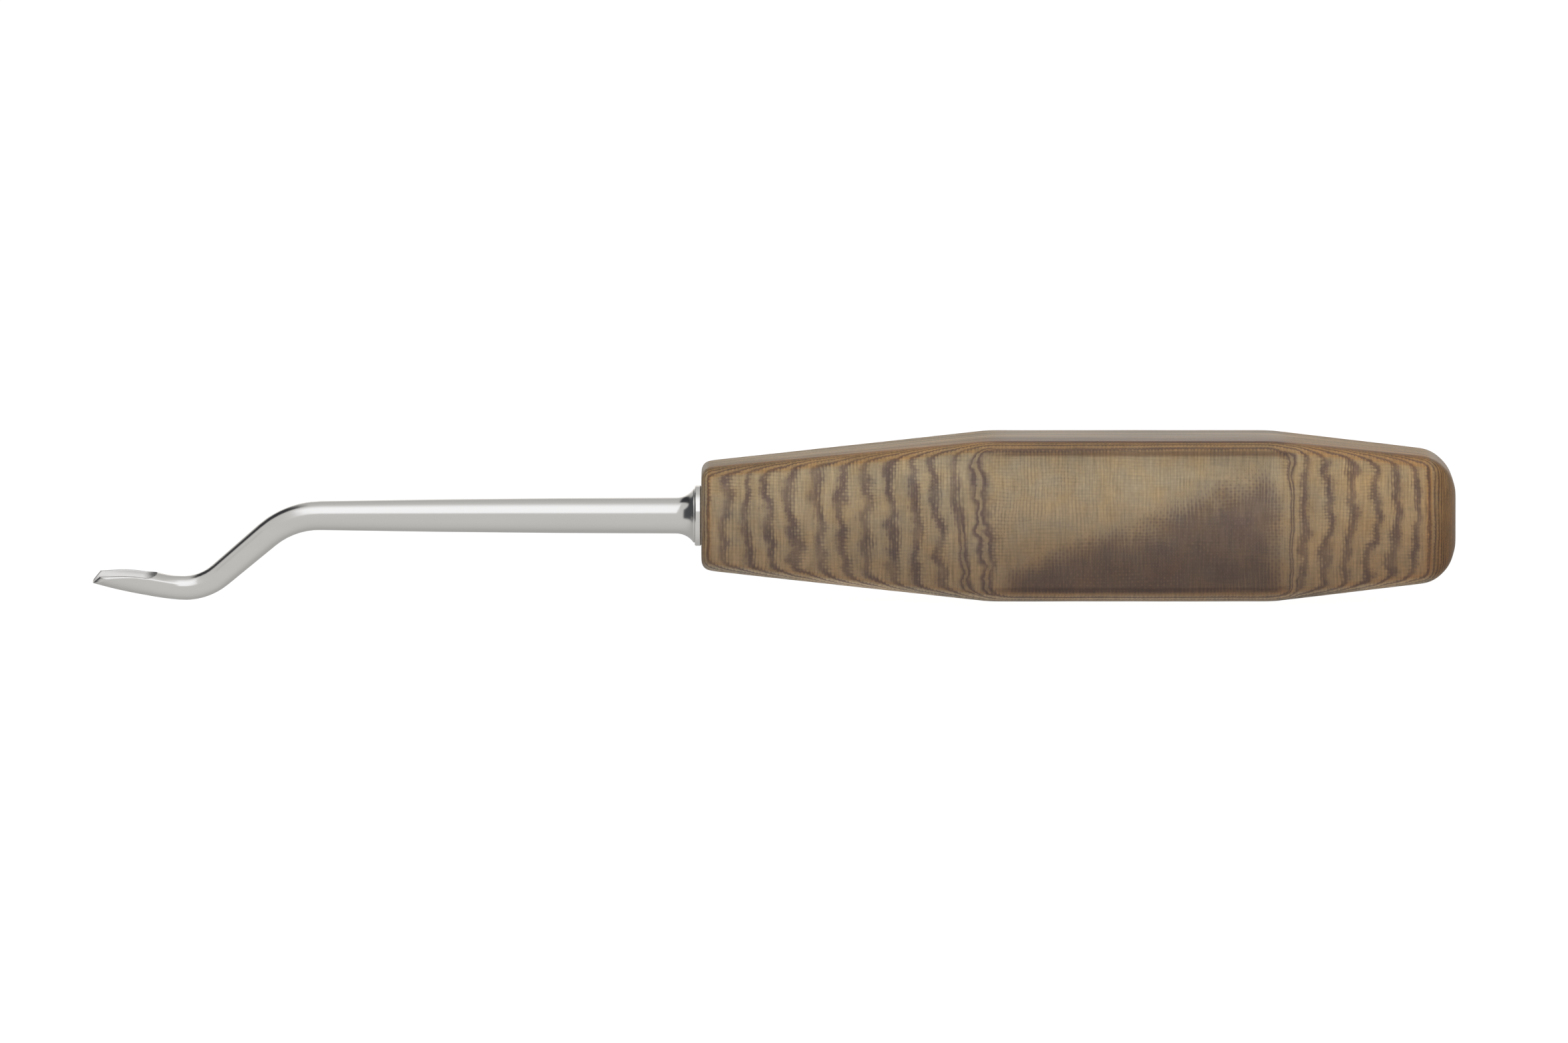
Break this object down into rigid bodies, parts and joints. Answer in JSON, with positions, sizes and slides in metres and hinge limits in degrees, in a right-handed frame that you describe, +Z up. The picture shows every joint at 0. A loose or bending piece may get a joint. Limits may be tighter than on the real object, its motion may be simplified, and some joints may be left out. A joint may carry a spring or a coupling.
{
  "type": "bent gouge elevator",
  "caption": "Hand gouge with a narrow trough-shaped blade on a double-bent round steel shank, set in a square tapered handle of fabric-phenolic laminate.",
  "frame": {"origin": "bottom centre of the tool's box, level with the heel of the blade, which is its lowest point", "axes": "+X along the handle from the blade end to the butt, +Z up, away from the side that the blade drops to; the concave side of the blade faces up and leans 10 degrees to -Y"},
  "size_m": [0.169, 0.02, 0.0205],
  "materials": {
    "laminate": "cotton-fabric phenolic laminate, sanded and oiled",
    "tool_steel": "satin, ground lengthwise and polished",
    "ring_steel": "turned and polished",
    "adhesive": "cured epoxy, hidden inside the handle"
  },
  "bodies": {
    "root": {"handle": "laminate", "blade_shank": "tool_steel", "bolster_ring": "ring_steel", "tang_adhesive": "adhesive"}
  },
  "joints": []
}
